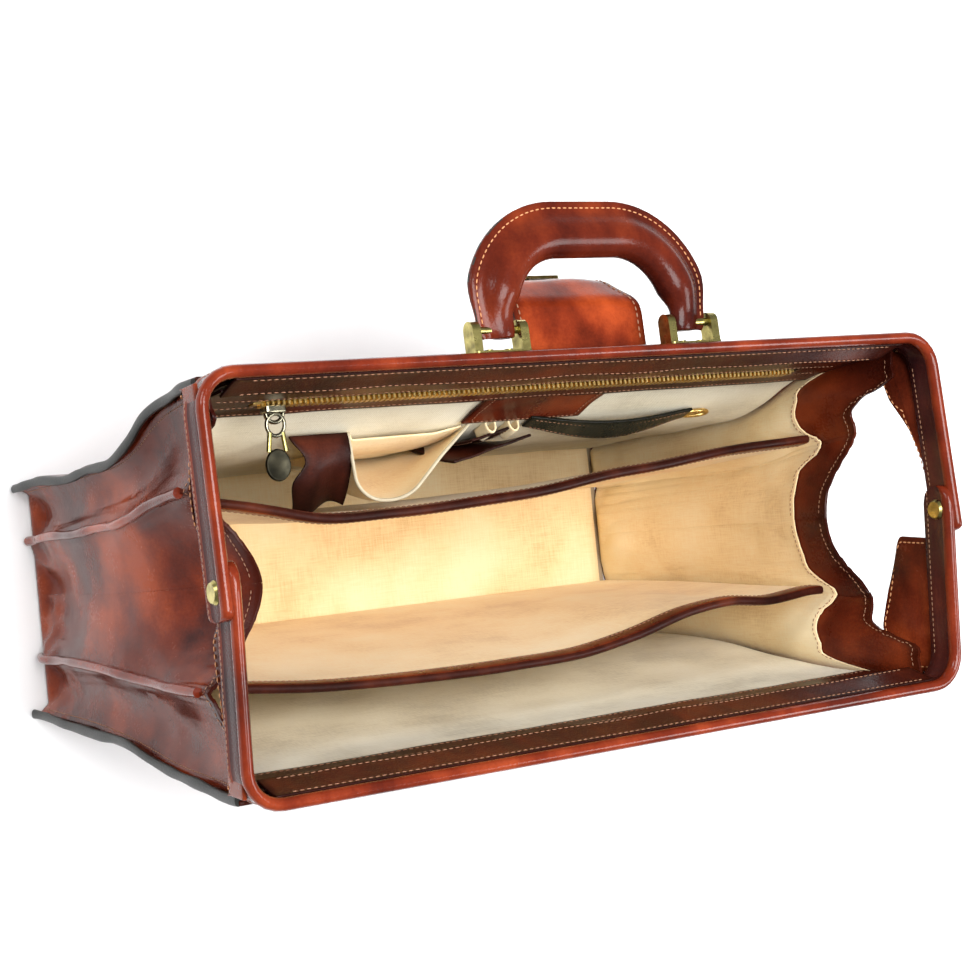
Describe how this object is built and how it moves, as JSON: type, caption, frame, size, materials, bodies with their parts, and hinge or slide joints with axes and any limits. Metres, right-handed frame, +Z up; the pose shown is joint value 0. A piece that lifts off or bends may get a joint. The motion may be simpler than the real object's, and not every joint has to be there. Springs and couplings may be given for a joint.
{
  "type": "doctor bag",
  "caption": "Framed leather doctor bag standing open, with hinged mouth hoops, pleated end gussets, canvas dividers, a zip pocket, a top handle and a closing flap.",
  "frame": {"origin": "centre of the base, on the surface the bag stands on", "axes": "+X along the bag, +Y to the back, where the handle is, +Z up out of the mouth"},
  "size_m": [0.4336, 0.2626, 0.3168],
  "materials": {
    "chestnut_leather": "glazed smooth hide",
    "frame_leather": "glazed smooth hide, hand stained",
    "dark_leather": "glazed smooth hide",
    "flap_leather": "glazed smooth hide, burnished",
    "canvas": "plain weave",
    "gold_canvas": "plain weave",
    "tape": "woven tape",
    "antique_brass": "antique satin",
    "zip_brass": "polished",
    "dark_metal": "blackened",
    "spring_steel": "bare",
    "stiffener": "pressed board",
    "cord_core": "twisted cord"
  },
  "bodies": {
    "bag_body": {"base_leather": "chestnut_leather", "base_board": "stiffener", "base_lining": "canvas", "left_gusset": "chestnut_leather", "right_gusset": "chestnut_leather", "left_gusset_lining": "canvas", "right_gusset_lining": "canvas"},
    "rivets": {"frame_rivets": "antique_brass"},
    "back_frame": {"back_frame_bar": "spring_steel", "back_frame_cover": "frame_leather", "back_leg_tabs": "chestnut_leather", "handle_brackets": "antique_brass", "handle_pins": "antique_brass", "bracket_screws": "antique_brass"},
    "front_frame": {"front_frame_bar": "spring_steel", "front_frame_cover": "frame_leather", "front_leg_tabs": "chestnut_leather"},
    "handle": {"handle_core": "cord_core", "handle_cover": "frame_leather"},
    "closing_flap": {"flap_leather": "flap_leather", "flap_hasp": "antique_brass", "hasp_rivets": "antique_brass"},
    "back_panel": {"back_panel_leather": "chestnut_leather", "back_panel_board": "stiffener", "back_panel_lining": "canvas", "zip_facing": "dark_leather", "zip_tape": "tape", "zip_teeth": "zip_brass", "zip_stops": "zip_brass", "phone_pocket": "gold_canvas", "pocket_flap": "dark_leather", "card_pocket": "dark_leather", "leather_patch": "dark_leather", "pen_loops": "gold_canvas", "key_strap": "dark_leather", "key_hook": "antique_brass"},
    "zip_slider": {"zip_slider": "antique_brass"},
    "zip_pull": {"zip_pull": "dark_metal"},
    "front_panel": {"front_panel_leather": "chestnut_leather", "front_panel_board": "stiffener", "front_panel_lining": "canvas", "front_facing": "dark_leather", "lock_case": "antique_brass"},
    "back_divider": {"back_divider_sheet": "gold_canvas", "back_divider_binding": "chestnut_leather"},
    "front_divider": {"front_divider_sheet": "gold_canvas", "front_divider_binding": "chestnut_leather"}
  },
  "joints": [
    {"name": "mouth_close", "type": "hinge", "parent": "rivets", "child": "back_frame", "pos_m": [0, 0, 0.30652], "axis": [1, 0, 0], "range_deg": [0, 86.92]},
    {"name": "front_close", "type": "hinge", "parent": "rivets", "child": "front_frame", "pos_m": [0, 0, 0.30652], "axis": [1, 0, 0], "range_deg": [-86.94, 0]},
    {"name": "rivet_drop", "type": "slide", "parent": "bag_body", "child": "rivets", "axis": [0, 0, 1], "range_m": [-0.11213, 0]},
    {"name": "back_panel_swing", "type": "hinge", "parent": "bag_body", "child": "back_panel", "pos_m": [0, 0.066, 0.004], "axis": [1, 0, 0], "range_deg": [0, 14.63]},
    {"name": "front_panel_swing", "type": "hinge", "parent": "bag_body", "child": "front_panel", "pos_m": [0, -0.066, 0.004], "axis": [1, 0, 0], "range_deg": [-14.63, 0]},
    {"name": "back_divider_swing", "type": "hinge", "parent": "bag_body", "child": "back_divider", "pos_m": [0, 0.033, 0.0067], "axis": [1, 0, 0], "range_deg": [0, 10.21]},
    {"name": "front_divider_swing", "type": "hinge", "parent": "bag_body", "child": "front_divider", "pos_m": [0, -0.033, 0.0067], "axis": [1, 0, 0], "range_deg": [-10.21, 0]},
    {"name": "handle_swing", "type": "hinge", "parent": "back_frame", "child": "handle", "pos_m": [0, 0.10775, 0.29917], "axis": [1, 0, 0], "range_deg": [0, 75]},
    {"name": "flap_bend", "type": "hinge", "parent": "back_frame", "child": "closing_flap", "pos_m": [0, 0.09778, 0.28532], "axis": [1, 0, 0], "range_deg": [-25, 0]},
    {"name": "zip_slide", "type": "slide", "parent": "back_panel", "child": "zip_slider", "axis": [1, 0, 0], "range_m": [0, 0.2954]},
    {"name": "pull_swing", "type": "hinge", "parent": "zip_slider", "child": "zip_pull", "pos_m": [-0.1477, 0.07644, 0.25015], "axis": [1, 0, 0], "range_deg": [-45, 90]}
  ],
  "couplings": [
    {"joint": "front_close", "follows": "mouth_close", "ratio": -1},
    {"joint": "rivet_drop", "follows": "mouth_close", "m_per_rad": -0.073885},
    {"joint": "back_panel_swing", "follows": "mouth_close", "ratio": 0.16806},
    {"joint": "front_panel_swing", "follows": "mouth_close", "ratio": -0.16806},
    {"joint": "back_divider_swing", "follows": "mouth_close", "ratio": 0.11728},
    {"joint": "front_divider_swing", "follows": "mouth_close", "ratio": -0.11728}
  ]
}
